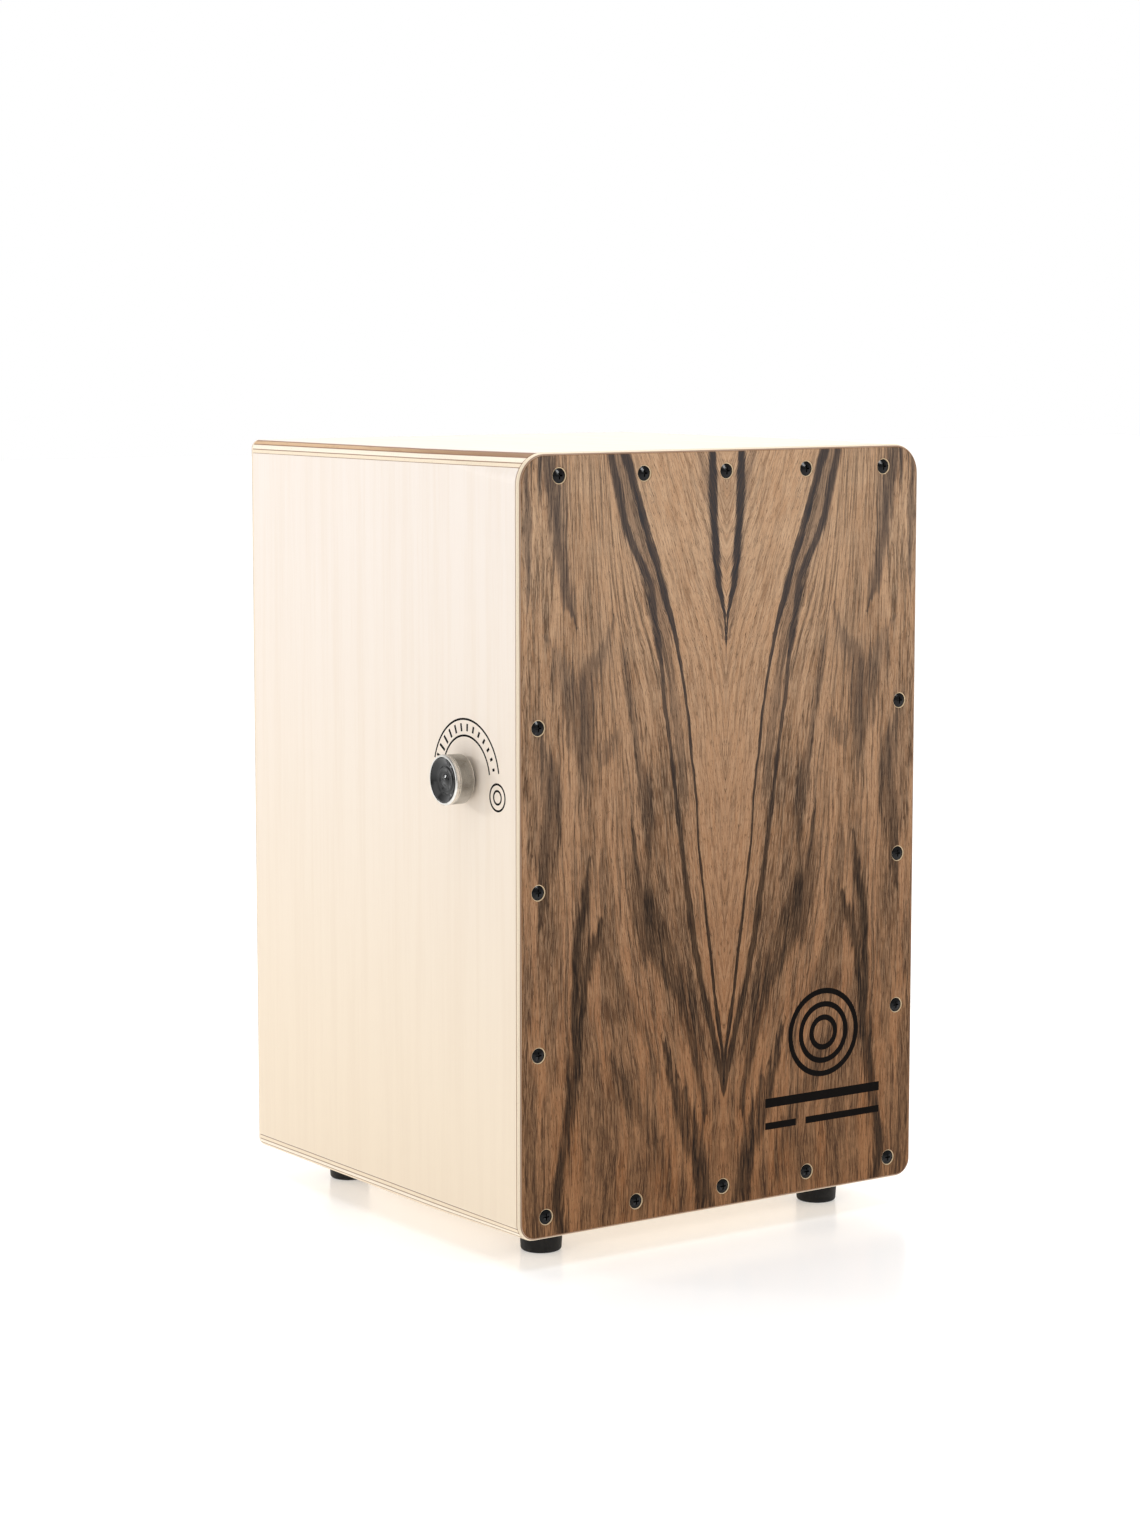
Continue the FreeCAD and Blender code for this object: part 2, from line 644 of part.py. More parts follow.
def foot_screw_hole(x, y):
    """The pilot hole for a foot's screw in the bottom panel."""
    return rod(FOOT_SCREW_RADIUS, Vector(x, y, Z_BOTTOM), Vector(x, y, Z_BOTTOM + FOOT_SCREW_GRIP))


def panels():
    """The six panels of the box and the veneer on the tapa."""
    shell = make_envelope()
    z_floor = Z_BOTTOM + WALL
    z_ceiling = Z_TOP - WALL
    top = shell.common(block(X_LEFT, X_RIGHT, Y_BODY, Y_PLATE, z_ceiling, Z_TOP))
    bottom = shell.common(block(X_LEFT, X_RIGHT, Y_BODY, Y_PLATE, Z_BOTTOM, z_floor))
    bottom = cut_all(bottom, [foot_screw_hole(x, y) for name, x, y in foot_places()])
    left = shell.common(block(X_LEFT, X_LEFT + WALL, Y_BODY, Y_PLATE, z_floor, z_ceiling))
    left = left.cut(shaft_rod(BUSHING_RADIUS, X_LEFT - 1, X_LEFT + WALL + 1))
    right = shell.common(block(X_RIGHT - WALL, X_RIGHT, Y_BODY, Y_PLATE, z_floor, z_ceiling))
    right = cut_all(right, block_screw_rooms())
    back = shell.common(block(X_LEFT, X_RIGHT, Y_PLATE, Y_BACK, Z_BOTTOM, Z_TOP))
    z_hole = Z_BOTTOM + SOUND_HOLE_HEIGHT
    middle = Vector(X_MIDDLE, Y_PLATE, z_hole)
    back = back.cut(rod(SOUND_HOLE_RADIUS, middle, middle + Vector(0, BACK_PLATE, 0)))
    back = round_edges(back, SOUND_HOLE_ROUND, is_sound_hole_edge)
    core = shell.common(block(X_LEFT, X_RIGHT, Y_FRONT + TAPA_VENEER, Y_BODY, Z_BOTTOM, Z_TOP))
    rim = [e for e in core.Edges if lies_on(e, "y", Y_BODY)]
    core = cut_all(core.makeChamfer(TAPA_BACK_CHAMFER, rim), tapa_holes())
    veneer = shell.common(block(X_LEFT, X_RIGHT, Y_FRONT, Y_FRONT + TAPA_VENEER, Z_BOTTOM, Z_TOP))
    veneer = cut_all(veneer, tapa_holes())
    return {
        "top_panel": top,
        "bottom_panel": bottom,
        "side_panel_left": left,
        "side_panel_right": right,
        "back_panel": back,
        "tapa_core": core,
        "tapa_veneer": veneer,
    }


def is_sound_hole_edge(edge):
    """True for the sound hole's edge on either face of the back plate."""
    on_face = lies_on(edge, "y", Y_BACK) or lies_on(edge, "y", Y_PLATE)
    return on_face and abs(edge.BoundBox.XLength - 2 * SOUND_HOLE_RADIUS) < SAME


def frame_and_feet():
    """Battens inside the box, the tapa's screws and the feet."""
    nodes = {"tapa_screws": tapa_screws()}
    for side, batten in ring_of_battens(Y_BODY, Y_BODY + FRONT_BATTEN_DEPTH, batten_holes()).items():
        nodes["front_batten_" + side] = batten
    for side, batten in ring_of_battens(Y_PLATE - BACK_BATTEN_DEPTH, Y_PLATE, []).items():
        nodes["back_batten_" + side] = batten
    for name, x, y in foot_places():
        nodes["rubber_foot_" + name] = rubber_foot(x, y)
    nodes["foot_washers"] = Part.makeCompound([foot_washer(x, y) for name, x, y in foot_places()])
    nodes["foot_screws"] = Part.makeCompound([foot_screw(x, y) for name, x, y in foot_places()])
    return nodes


def knob_and_shaft():
    """The knob, the shaft and what carries them."""
    x_screw, z_skin = knob_set_screw_place()
    x_collar = COLLAR_START + COLLAR_LENGTH / 2
    shaft_top = SHAFT_Z - SHAFT_RADIUS
    return {
        "knob_barrel": knob_barrel(),
        "knob_cap": knob_cap(),
        "knob_set_screw": set_screw(x_screw, z_skin + 1.5, shaft_top),
        "knob_felt_washer": felt_washer(),
        "snare_shaft": shaft_rod(SHAFT_RADIUS, X_LEFT - KNOB_GAP - SHAFT_IN_KNOB, SHAFT_END),
        "shaft_bushing": shaft_bushing(),
        "shaft_collar": shaft_collar(),
        "collar_set_screw": set_screw(x_collar, SHAFT_Z - COLLAR_RADIUS + 0.5, shaft_top),
        "bearing_block": bearing_block(),
        "bearing_block_screws": Part.makeCompound([block_screw(y, z) for y, z in BLOCK_SCREW_PLACES]),
        "stop_pin": stop_rod(PIN_RADIUS, PIN_END, BLOCK_FACE + PIN_SEAT),
        "stop_pin_sleeve": stop_rod(SLEEVE_RADIUS, PIN_END, BLOCK_FACE - 0.5).cut(
            stop_rod(PIN_RADIUS, PIN_END, BLOCK_FACE - 0.5)),
    }


def snare():
    """The bar and the wires, leaned towards the tapa as they are with the snare on."""
    pieces = {
        "snare_bar": snare_bar(),
        "snare_bar_screws": bar_screws(),
        "snare_wires_left": wire_set(-1),
        "snare_wires_right": wire_set(1),
        "snare_end_plate_left": end_plate(-1),
        "snare_end_plate_right": end_plate(1),
        "snare_clamp_strip_left": clamp_strip(-1),
        "snare_clamp_strip_right": clamp_strip(1),
        "snare_clamp_screws": clamp_screws(),
    }
    return {name: lean(piece, snare_lean()) for name, piece in pieces.items()}


def main():
    """Builds every piece and writes one STEP file for each."""
    os.makedirs("parts", exist_ok=True)
    nodes = {**panels(), **frame_and_feet(), **knob_and_shaft(), **snare()}
    for name, shape in nodes.items():
        shape.exportStep("parts/" + name + ".step")


main()
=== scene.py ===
"""The looks of the cajon: materials, printed marks, coiled snare wires, camera and light."""

import math

import bmesh
import bpy
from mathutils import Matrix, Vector


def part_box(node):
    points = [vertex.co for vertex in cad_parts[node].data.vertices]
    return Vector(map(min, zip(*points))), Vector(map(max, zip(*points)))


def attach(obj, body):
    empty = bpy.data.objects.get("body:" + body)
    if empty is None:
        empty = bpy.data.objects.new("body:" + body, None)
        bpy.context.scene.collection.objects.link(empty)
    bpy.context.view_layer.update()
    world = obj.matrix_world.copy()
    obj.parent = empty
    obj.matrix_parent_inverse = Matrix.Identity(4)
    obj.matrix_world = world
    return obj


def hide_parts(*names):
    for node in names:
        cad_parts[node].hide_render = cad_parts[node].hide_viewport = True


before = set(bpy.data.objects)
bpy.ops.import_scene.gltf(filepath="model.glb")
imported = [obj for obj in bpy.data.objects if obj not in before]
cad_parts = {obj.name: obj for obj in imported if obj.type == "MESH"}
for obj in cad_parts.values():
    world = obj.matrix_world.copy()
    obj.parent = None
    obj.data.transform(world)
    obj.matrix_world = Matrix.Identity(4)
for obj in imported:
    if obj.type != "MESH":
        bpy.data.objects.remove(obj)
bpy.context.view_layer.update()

MM = 0.001


# ---------------------------------------------------------------- places, in millimetres

def node_box(name):
    """The lowest and highest corner of a CAD node in millimetres."""
    low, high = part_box(name)
    return Vector(low) / MM, Vector(high) / MM


CORE_LOW, CORE_HIGH = node_box("tapa_core")
BARREL_LOW, BARREL_HIGH = node_box("knob_barrel")
SHAFT_LOW, SHAFT_HIGH = node_box("snare_shaft")
SET_SCREW_LOW, SET_SCREW_HIGH = node_box("knob_set_screw")

X_LEFT, X_RIGHT = CORE_LOW.x, CORE_HIGH.x
X_MIDDLE = (X_LEFT + X_RIGHT) / 2
Y_FRONT = node_box("tapa_veneer")[0].y
Y_CORE_BACK = CORE_HIGH.y
Y_BACK = node_box("back_panel")[1].y
Z_BOTTOM, Z_TOP = CORE_LOW.z, CORE_HIGH.z
HEIGHT = Z_TOP - Z_BOTTOM
SHAFT_Y = (SHAFT_LOW.y + SHAFT_HIGH.y) / 2
SHAFT_Z = (SHAFT_LOW.z + SHAFT_HIGH.z) / 2
SET_SCREW_X = (SET_SCREW_LOW.x + SET_SCREW_HIGH.x) / 2


# ---------------------------------------------------------------- colours

def srgb(red, green, blue):
    """A linear RGBA colour from 0 to 255 display values."""
    def linear(value):
        value /= 255
        return value / 12.92 if value <= 0.04045 else ((value + 0.055) / 1.055) ** 2.4
    return (linear(red), linear(green), linear(blue), 1.0)


class Graph:
    """A material and short ways to add nodes to it."""

    def __init__(self, name):
        self.material = bpy.data.materials.new(name)
        self.material.use_nodes = True
        self.tree = self.material.node_tree
        self.shader = self.tree.nodes["Principled BSDF"]
        position = self.add("ShaderNodeTexCoord").outputs["Object"]
        self.position = self.scaled(position, (1 / MM, 1 / MM, 1 / MM))
        self.x, self.y, self.z = self.split(self.position)

    def add(self, kind, **settings):
        """A new node with its settings."""
        node = self.tree.nodes.new(kind)
        for key, value in settings.items():
            setattr(node, key, value)
        return node

    def feed(self, socket, value):
        """Links a socket to another socket's output, or sets its value."""
        if isinstance(value, bpy.types.NodeSocket):
            self.tree.links.new(value, socket)
        else:
            socket.default_value = value

    def math(self, operation, *values):
        """The result of one operation on numbers or sockets."""
        node = self.add("ShaderNodeMath", operation=operation)
        for socket, value in zip(node.inputs, values):
            self.feed(socket, value)
        return node.outputs[0]

    def scaled(self, vector, factors):
        """A vector with each coordinate times its factor."""
        node = self.add("ShaderNodeVectorMath", operation="MULTIPLY")
        self.feed(node.inputs[0], vector)
        self.feed(node.inputs[1], factors)
        return node.outputs[0]

    def split(self, vector):
        """The three coordinates of a vector."""
        node = self.add("ShaderNodeSeparateXYZ")
        self.feed(node.inputs[0], vector)
        return node.outputs[0], node.outputs[1], node.outputs[2]

    def joined(self, x, y, z):
        """A vector from three coordinates."""
        node = self.add("ShaderNodeCombineXYZ")
        for socket, value in zip(node.inputs, (x, y, z)):
            self.feed(socket, value)
        return node.outputs[0]

    def noise(self, vector, scale=1.0, detail=2.0, roughness=0.5, distortion=0.0):
        """Noise from 0 to 1 with its middle at 0.5."""
        node = self.add("ShaderNodeTexNoise")
        self.feed(node.inputs["Vector"], vector)
        node.inputs["Scale"].default_value = scale
        node.inputs["Detail"].default_value = detail
        node.inputs["Roughness"].default_value = roughness
        node.inputs["Distortion"].default_value = distortion
        return node.outputs[0]

    def wobble(self, vector, scale, size, detail=2.0):
        """Noise that swings by about size to either side of zero."""
        swing = self.math("SUBTRACT", self.noise(vector, scale, detail), 0.5)
        return self.math("MULTIPLY", swing, size * 2)

    def ramp(self, value, low, high, to_low=0.0, to_high=1.0):
        """A smooth step from to_low at low to to_high at high."""
        node = self.add("ShaderNodeMapRange", interpolation_type="SMOOTHSTEP")
        for socket, number in zip(node.inputs, (value, low, high, to_low, to_high)):
            self.feed(socket, number)
        return node.outputs[0]

    def curve(self, value, points):
        """A smooth curve through points whose coordinates all lie between 0 and 1."""
        node = self.add("ShaderNodeFloatCurve")
        self.feed(node.inputs["Value"], value)
        line = node.mapping.curves[0]
        points = sorted(points)
        line.points[0].location = points[0]
        line.points[1].location = points[-1]
        for point in points[1:-1]:
            line.points.new(*point)
        node.mapping.update()
        return node.outputs[0]

    def mix(self, factor, first, second):
        """A mix of two colours."""
        node = self.add("ShaderNodeMix", data_type="RGBA")
        self.feed(node.inputs[0], factor)
        self.feed(node.inputs[6], first)
        self.feed(node.inputs[7], second)
        return node.outputs[2]

    def bump(self, height, strength, distance=0.2):
        """Sends height to the shader's normal, with distance in millimetres."""
        node = self.add("ShaderNodeBump")
        node.inputs["Strength"].default_value = strength
        node.inputs["Distance"].default_value = distance * MM
        self.feed(node.inputs["Height"], height)
        self.feed(self.shader.inputs["Normal"], node.outputs[0])

    def finish(self, color=None, roughness=0.5, metallic=0.0, **sockets):
        """Sets the shader's sockets by name, and returns the material."""
        if color is not None:
            self.feed(self.shader.inputs["Base Color"], color)
        self.feed(self.shader.inputs["Roughness"], roughness)
        self.feed(self.shader.inputs["Metallic"], metallic)
        for name, value in sockets.items():
            self.feed(self.shader.inputs[name.replace("_", " ")], value)
        return self.material


def dress(material, *names):
    """Gives CAD nodes a material."""
    for name in names:
        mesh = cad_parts[name].data
        mesh.materials.clear()
        mesh.materials.append(material)


# ---------------------------------------------------------------- streaked veneer

# Dark figure of the veneer, mirrored about its centre line: (height above the box's bottom,
# distance from the centre line, half width), in millimetres, from the top down.
INK = (
    # the two lines beside the centre, which meet a quarter of the way down
    (0.95, ((480, 12, 3.0), (430, 9, 3.5), (405, 7, 3.0), (375, 2, 1.0), (350, 0, 0.2))),
    # the long V from the top to the middle of the bottom edge
    (0.90, ((480, 78, 3.5), (430, 61, 3.0), (385, 46, 2.6), (340, 33, 1.2), (290, 27, 0.9), (235, 21, 1.0),
            (180, 13, 1.3), (110, 3, 1.5), (85, 0, 0.8))),
    (0.80, ((480, 88, 3.0), (430, 75, 3.2), (400, 60, 3.0), (365, 53, 2.2), (320, 47, 1.6), (260, 38, 1.6),
            (208, 30, 2.2), (150, 19, 2.6), (105, 7, 2.6), (75, 0, 1.2))),
)
SMOKE = (
    # between the two lines of the V
    (0.45, ((480, 83, 8.0), (430, 69, 8.0), (390, 54, 7.0), (350, 46, 6.0), (300, 36, 4.0), (265, 32, 1.0))),
    # beside the centre lines at the top
    (0.40, ((480, 21, 2.5), (440, 12, 3.0), (400, 9, 3.0), (370, 4, 1.0))),
    # the outer streak at the top
    (0.70, ((480, 136, 8.0), (450, 129, 7.0), (420, 126, 5.5), (395, 121, 4.5), (380, 116, 1.0))),
    (0.55, ((480, 150, 2.5), (430, 149, 2.5), (390, 150, 1.0))),
    # the flame that hangs from the upper third
    (0.45, ((375, 86, 1.0), (360, 93, 5.0), (348, 103, 9.0), (335, 108, 9.0), (318, 106, 5.0),
            (300, 105, 2.0))),
    (0.35, ((365, 132, 2.0), (345, 120, 9.0), (325, 112, 12.0), (300, 112, 5.0), (285, 110, 1.0))),
    (0.55, ((352, 77, 1.5), (328, 73, 2.5), (308, 69, 2.0), (285, 66, 4.0), (262, 61, 5.0), (240, 58, 2.0))),
    (0.40, ((312, 84, 1.0), (303, 90, 8.0), (294, 95, 5.0), (288, 97, 1.0))),
    (0.50, ((312, 110, 1.5), (290, 109, 2.0), (270, 108, 1.0))),
    # the mottled outer edge below the middle
    (0.60, ((312, 142, 1.0), (290, 135, 7.0), (270, 132, 9.0), (245, 134, 9.0), (215, 138, 5.0),
            (195, 141, 1.0))),
    # the outer leg, from the middle down to the bottom corner
    (0.80, ((225, 104, 1.0), (200, 109, 4.0), (175, 113, 4.0), (150, 114, 4.0), (115, 114, 5.0),
            (85, 118, 5.0), (55, 123, 4.0), (25, 127, 4.5), (0, 123, 3.0))),
    (0.75, ((190, 95, 2.0), (175, 101, 5.0), (160, 106, 4.5), (140, 109, 3.0), (118, 110, 1.0))),
    # the flame beside the V in the lower half
    (0.70, ((245, 71, 1.5), (215, 67, 6.0), (190, 62, 10.0), (172, 55, 9.0), (156, 44, 7.0), (135, 33, 5.0),
            (105, 24, 4.0), (70, 16, 3.0))),
    (0.55, ((232, 60, 3.0), (205, 57, 4.0), (175, 44, 5.0), (158, 34, 5.0), (130, 24, 3.0), (105, 16, 1.0))),
    (0.35, ((190, 96, 1.0), (165, 88, 4.0), (150, 80, 6.0), (135, 70, 5.0), (115, 60, 3.0), (95, 52, 1.0))),
    # the lowest streaks, which lean in towards the bottom edge
    (0.70, ((108, 46, 2.0), (80, 38, 4.0), (55, 31, 4.5), (30, 21, 3.5), (0, 17, 3.0))),
    (0.65, ((85, 34, 1.0), (55, 23, 3.5), (30, 16, 3.5), (0, 9, 3.0))),
    (0.40, ((100, 84, 4.0), (78, 72, 8.0), (60, 60, 7.0), (40, 50, 5.0), (15, 42, 2.0))),
    (0.35, ((70, 150, 2.0), (40, 146, 4.0), (10, 143, 3.0))),
)
LONG_V = INK[1][1]

# A curve node works between 0 and 1, so distances and half widths go in as shares of these.
REACH = 160.0
MAX_HALF_WIDTH = 16.0
LEAST_HALF_WIDTH = 0.05
STREAK_FADE = 12.0


def streak(graph, height, offset, ragged, points, softness):
    """A mask that is 1 on a streak through (height, distance, half width) points.

    Past both ends the streak narrows to nothing within STREAK_FADE.
    """
    share = graph.math("DIVIDE", height, HEIGHT)
    middle = graph.curve(share, [(h / HEIGHT, m / REACH) for h, m, w in points])
    ends = [(points[0][0] + STREAK_FADE, 0.0), (points[-1][0] - STREAK_FADE, 0.0)]
    widths = [(h, w) for h, m, w in points] + [(h, w) for h, w in ends if 0 <= h <= HEIGHT]
    half = graph.curve(share, [(h / HEIGHT, w / MAX_HALF_WIDTH) for h, w in widths])
    away = graph.math("ABSOLUTE", graph.math("SUBTRACT", offset, graph.math("MULTIPLY", middle, REACH)))
    half = graph.math("MAXIMUM", graph.math("MULTIPLY", half, MAX_HALF_WIDTH), LEAST_HALF_WIDTH)
    ratio = graph.math("ADD", graph.math("DIVIDE", away, half), ragged)
    return graph.ramp(ratio, 1.0 + softness, 1.0 - softness)


def darkened(graph, masks):
    """One mask from (strength, mask) pairs that lie over each other."""
    keep = 1.0
    for strength, mask in masks:
        left = graph.math("SUBTRACT", 1.0, graph.math("MULTIPLY", mask, strength))
        keep = graph.math("MULTIPLY", keep, left)
    return graph.math("SUBTRACT", 1.0, keep)


def uneven_offset(graph, mirrored, flat):
    """The distance from the centre line, a little uneven along the grain."""
    slow = graph.wobble(graph.scaled(flat, (1 / 40, 1, 1 / 110)), 1.0, 3.0)
    quick = graph.wobble(graph.scaled(flat, (1 / 9, 1, 1 / 30)), 1.0, 1.8)
    return graph.math("ADD", mirrored, graph.math("ADD", slow, quick))


def long_v_offset(graph, share):
    """The long V's distance from the centre line at each share of the height."""
    line = [(h / HEIGHT, m / REACH) for h, m, w in LONG_V] + [(0.0, 0.0)]
    return graph.math("MULTIPLY", graph.curve(share, line), REACH)


def veneer_grain(graph, place):
    """Noises of the veneer, from the finest threads to broad bands, all stretched upright."""
    return {
        "threads": graph.noise(graph.scaled(place, (1.5, 1, 1 / 16)), 1.0, 3.0, 0.65),
        "fibres": graph.noise(graph.scaled(place, (0.32, 1, 1 / 60)), 1.0, 4.0, 0.65),
        "bands": graph.noise(graph.scaled(place, (1 / 14, 1, 1 / 150)), 1.0, 3.0, 0.55, 0.4),
        "pores": graph.noise(graph.scaled(place, (2.4, 1, 1 / 6.0)), 1.0, 2.0, 0.7),
    }


def veneer_figure(graph, height, offset, flat, grain):
    """One mask of all the dark streaks, sharp for INK and torn for SMOKE."""
    ragged = graph.math("MULTIPLY", graph.math("SUBTRACT", grain["threads"], 0.5), 1.8)
    ink = [(strength, streak(graph, height, offset, ragged, points, 0.3)) for strength, points in INK]

    # Each narrow column of fibres is shifted along the grain, which gives slanted streaks a saw edge.
    saw = graph.wobble(graph.scaled(flat, (1 / 2.4, 1, 1 / 70)), 1.0, 16.0, 3.0)
    torn_height = graph.math("ADD", height, saw)
    torn = graph.math("MULTIPLY", graph.math("SUBTRACT", grain["fibres"], 0.5), 3.0)
    torn = graph.math("ADD", torn, ragged)
    smoke = [(strength, streak(graph, torn_height, offset, torn, points, 0.75))
             for strength, points in SMOKE]
    return darkened(graph, ink + smoke)


def veneer_wood(graph, share, outside, flat, grain):
    """The brown wood between the streaks: clean inside the V, and smoky outside it."""
    blotches = graph.noise(graph.scaled(flat, (1 / 26, 1, 1 / 50)), 1.0, 3.0, 0.6)
    smoky = graph.math("MULTIPLY", graph.ramp(share, 0.95, 0.35, 0.35, 0.95), outside)
    dark_bands = graph.math("MULTIPLY", graph.ramp(grain["bands"], 0.60, 0.40), smoky)
    fibre_strength = graph.ramp(outside, 0.0, 1.0, 0.40, 0.80)
    dark_fibres = graph.math("MULTIPLY", graph.ramp(grain["fibres"], 0.54, 0.40), fibre_strength)
    fibre_color = graph.mix(share, srgb(66, 43, 27), srgb(84, 66, 52))
    thread_color = graph.mix(share, srgb(182, 134, 92), srgb(220, 188, 156))

    color = graph.mix(graph.ramp(share, 0.1, 1.0), srgb(136, 91, 57), srgb(194, 157, 124))
    color = graph.mix(dark_bands, color, srgb(84, 59, 40))
    color = graph.mix(graph.ramp(blotches, 0.62, 0.40, 0.0, 0.35), color, srgb(176, 130, 92))
    color = graph.mix(dark_fibres, color, fibre_color)
    color = graph.mix(graph.ramp(grain["threads"], 0.46, 0.58, 0.0, 0.42), color, thread_color)
    return graph.mix(graph.ramp(grain["pores"], 0.44, 0.34, 0.0, 0.85), color, srgb(52, 35, 23))


def streak_color(graph, share, grain):
    """The streaks' colour, brown-black at the bottom and blue-black at the top."""
    color = graph.mix(graph.ramp(share, 0.35, 0.9), srgb(12, 6, 3), srgb(48, 48, 52))
    return graph.mix(graph.ramp(grain["threads"], 0.48, 0.60, 0.0, 0.35), color, srgb(98, 74, 54))


def veneer_material():
    """Book-matched brown veneer with dark streaks and open pores, satin lacquered."""
    graph = Graph("streaked_veneer")
    height = graph.math("SUBTRACT", graph.z, Z_BOTTOM)
    share = graph.math("DIVIDE", height, HEIGHT)
    mirrored = graph.math("ABSOLUTE", graph.math("SUBTRACT", graph.x, X_MIDDLE))
    flat = graph.joined(mirrored, 0.0, height)
    offset = uneven_offset(graph, mirrored, flat)

    # The grain runs beside the long V near the centre, and upright further out.
    v_offset = long_v_offset(graph, share)
    follow = graph.ramp(mirrored, 70.0, 130.0, 1.0, 0.0)
    along = graph.math("SUBTRACT", offset, graph.math("MULTIPLY", v_offset, follow))
    grain = veneer_grain(graph, graph.joined(along, 0.0, height))

    outside = graph.ramp(graph.math("SUBTRACT", mirrored, v_offset), -6.0, 14.0)
    wood = veneer_wood(graph, share, outside, flat, grain)
    figure = veneer_figure(graph, height, offset, flat, grain)
    color = graph.mix(figure, wood, streak_color(graph, share, grain))

    # The thin edge of the veneer, behind its face, is a plainer brown.
    edge = graph.ramp(graph.y, Y_FRONT + 0.10, Y_FRONT + 0.28, 0.0, 0.5)
    color = graph.mix(edge, color, srgb(128, 86, 48))

    fine = graph.math("MULTIPLY", grain["threads"], 0.5)
    graph.bump(graph.math("ADD", grain["pores"], fine), 0.35, 0.12)
    roughness = graph.ramp(grain["fibres"], 0.3, 0.7, 0.42, 0.56)
    return graph.finish(color, roughness, Specular_IOR_Level=0.1)


# ---------------------------------------------------------------- pale woods

BIRCH_LIGHT = srgb(243, 232, 222)
BIRCH_WARM = srgb(241, 224, 200)
BIRCH_FLECK = srgb(228, 208, 184)
PLY_END = srgb(243, 226, 200)
PLY_LONG = srgb(250, 238, 218)
GLUE = srgb(132, 88, 58)
FACE_VENEER = 0.6
PLY_BLUR = 0.08
GLUE_CORE = 0.18
GLUE_FADE = 0.44


def plywood_material(name, across, face, inward, lines, grain, first_ply=None, inner=None):
    """Birch plywood.

    across picks the coordinate through the thickness, face is its value at the outer face and
    inward is the sign of the way in. lines are the depths of the glue lines, and grain stretches
    the figure. first_ply makes the colour of the first ply under the face, and inner changes the
    finished colour.
    """
    graph = Graph(name)
    depth = graph.math("MULTIPLY", graph.math("SUBTRACT", getattr(graph, across), face), inward)
    waves = graph.wobble(graph.scaled(graph.position, (0.03, 0.03, 0.03)), 1.0, 0.12)
    depth = graph.math("ADD", depth, waves)

    figure = graph.noise(graph.scaled(graph.position, grain), 1.0, 4.0, 0.6)
    flecks = graph.noise(graph.scaled(graph.position, [8.0 * g for g in grain]), 1.0, 3.0, 0.7)
    color = graph.mix(graph.ramp(graph.z, Z_BOTTOM, Z_TOP), BIRCH_WARM, BIRCH_LIGHT)
    color = graph.mix(graph.ramp(figure, 0.35, 0.70, 0.0, 0.22), color, BIRCH_FLECK)
    color = graph.mix(graph.ramp(flecks, 0.60, 0.80, 0.0, 0.30), color, BIRCH_FLECK)

    cells = graph.noise(graph.scaled(graph.position, (0.9, 0.9, 0.9)), 1.0, 4.0, 0.7)
    for number, line in enumerate(lines):
        layer = PLY_END if number % 2 == 0 else PLY_LONG
        if number == 0 and first_ply:
            layer = first_ply(graph)
        layer = graph.mix(graph.ramp(cells, 0.55, 0.75, 0.0, 0.25), layer, GLUE)
        color = graph.mix(graph.ramp(depth, line - PLY_BLUR, line + PLY_BLUR), color, layer)
    for line in lines:
        near = graph.math("ABSOLUTE", graph.math("SUBTRACT", depth, line))
        color = graph.mix(graph.ramp(near, GLUE_FADE, GLUE_CORE, 0.0, 0.85), color, GLUE)
    if inner:
        color = inner(graph, color)

    graph.bump(graph.math("ADD", figure, flecks), 0.05, 0.1)
    return graph.finish(color, graph.ramp(flecks, 0.2, 0.8, 0.40, 0.50), Specular_IOR_Level=0.3)


SCREW_BAND = 8.2
COUNTERSINK_DEPTH = 3.5
# painted shade for the walls of the tapa screws' countersinks
COUNTERSINK_SHADE = srgb(224, 198, 160)


def shaded_countersinks(graph, color):
    """Painted shade in the screws' countersinks: darker wood away from the outline, where only the
    countersinks show.
    """
    sideways = graph.math("ABSOLUTE", graph.math("SUBTRACT", graph.x, X_MIDDLE))
    upright = graph.math("ABSOLUTE", graph.math("SUBTRACT", graph.z, (Z_BOTTOM + Z_TOP) / 2))
    inside = graph.math("MULTIPLY",
                        graph.math("LESS_THAN", sideways, (X_RIGHT - X_LEFT) / 2 - SCREW_BAND),
                        graph.math("LESS_THAN", upright, HEIGHT / 2 - SCREW_BAND))
    front = graph.math("LESS_THAN", graph.y, Y_FRONT + COUNTERSINK_DEPTH)
    # darkens the countersink walls as painted shade
    return graph.mix(graph.math("MULTIPLY", inside, front), color, COUNTERSINK_SHADE)


def top_first_ply(graph):
    """The top panel's first ply, which is browner near the playing face."""
    cells = graph.noise(graph.scaled(graph.position, (0.5, 0.05, 0.5)), 1.0, 3.0, 0.7)
    near_front = graph.ramp(graph.y, 60.0, -140.0)
    color = graph.mix(near_front, srgb(214, 178, 140), srgb(152, 114, 78))
    return graph.mix(graph.ramp(cells, 0.5, 0.75, 0.0, 0.4), color, srgb(128, 92, 62))


def timber_material(name, light, dark, grain, roughness):
    """Planed solid wood with its grain stretched along one axis."""
    graph = Graph(name)
    rings = graph.noise(graph.scaled(graph.position, grain), 1.0, 3.0, 0.55, 0.8)
    fine = graph.noise(graph.scaled(graph.position, [6.0 * g for g in grain]), 1.0, 3.0, 0.7)
    color = graph.mix(graph.ramp(rings, 0.38, 0.64), light, dark)
    color = graph.mix(graph.ramp(fine, 0.55, 0.75, 0.0, 0.4), color, dark)
    graph.bump(fine, 0.2, 0.1)
    return graph.finish(color, graph.ramp(fine, 0.2, 0.8, roughness - 0.06, roughness + 0.08))


# ---------------------------------------------------------------- metals, rubber, plastic, felt

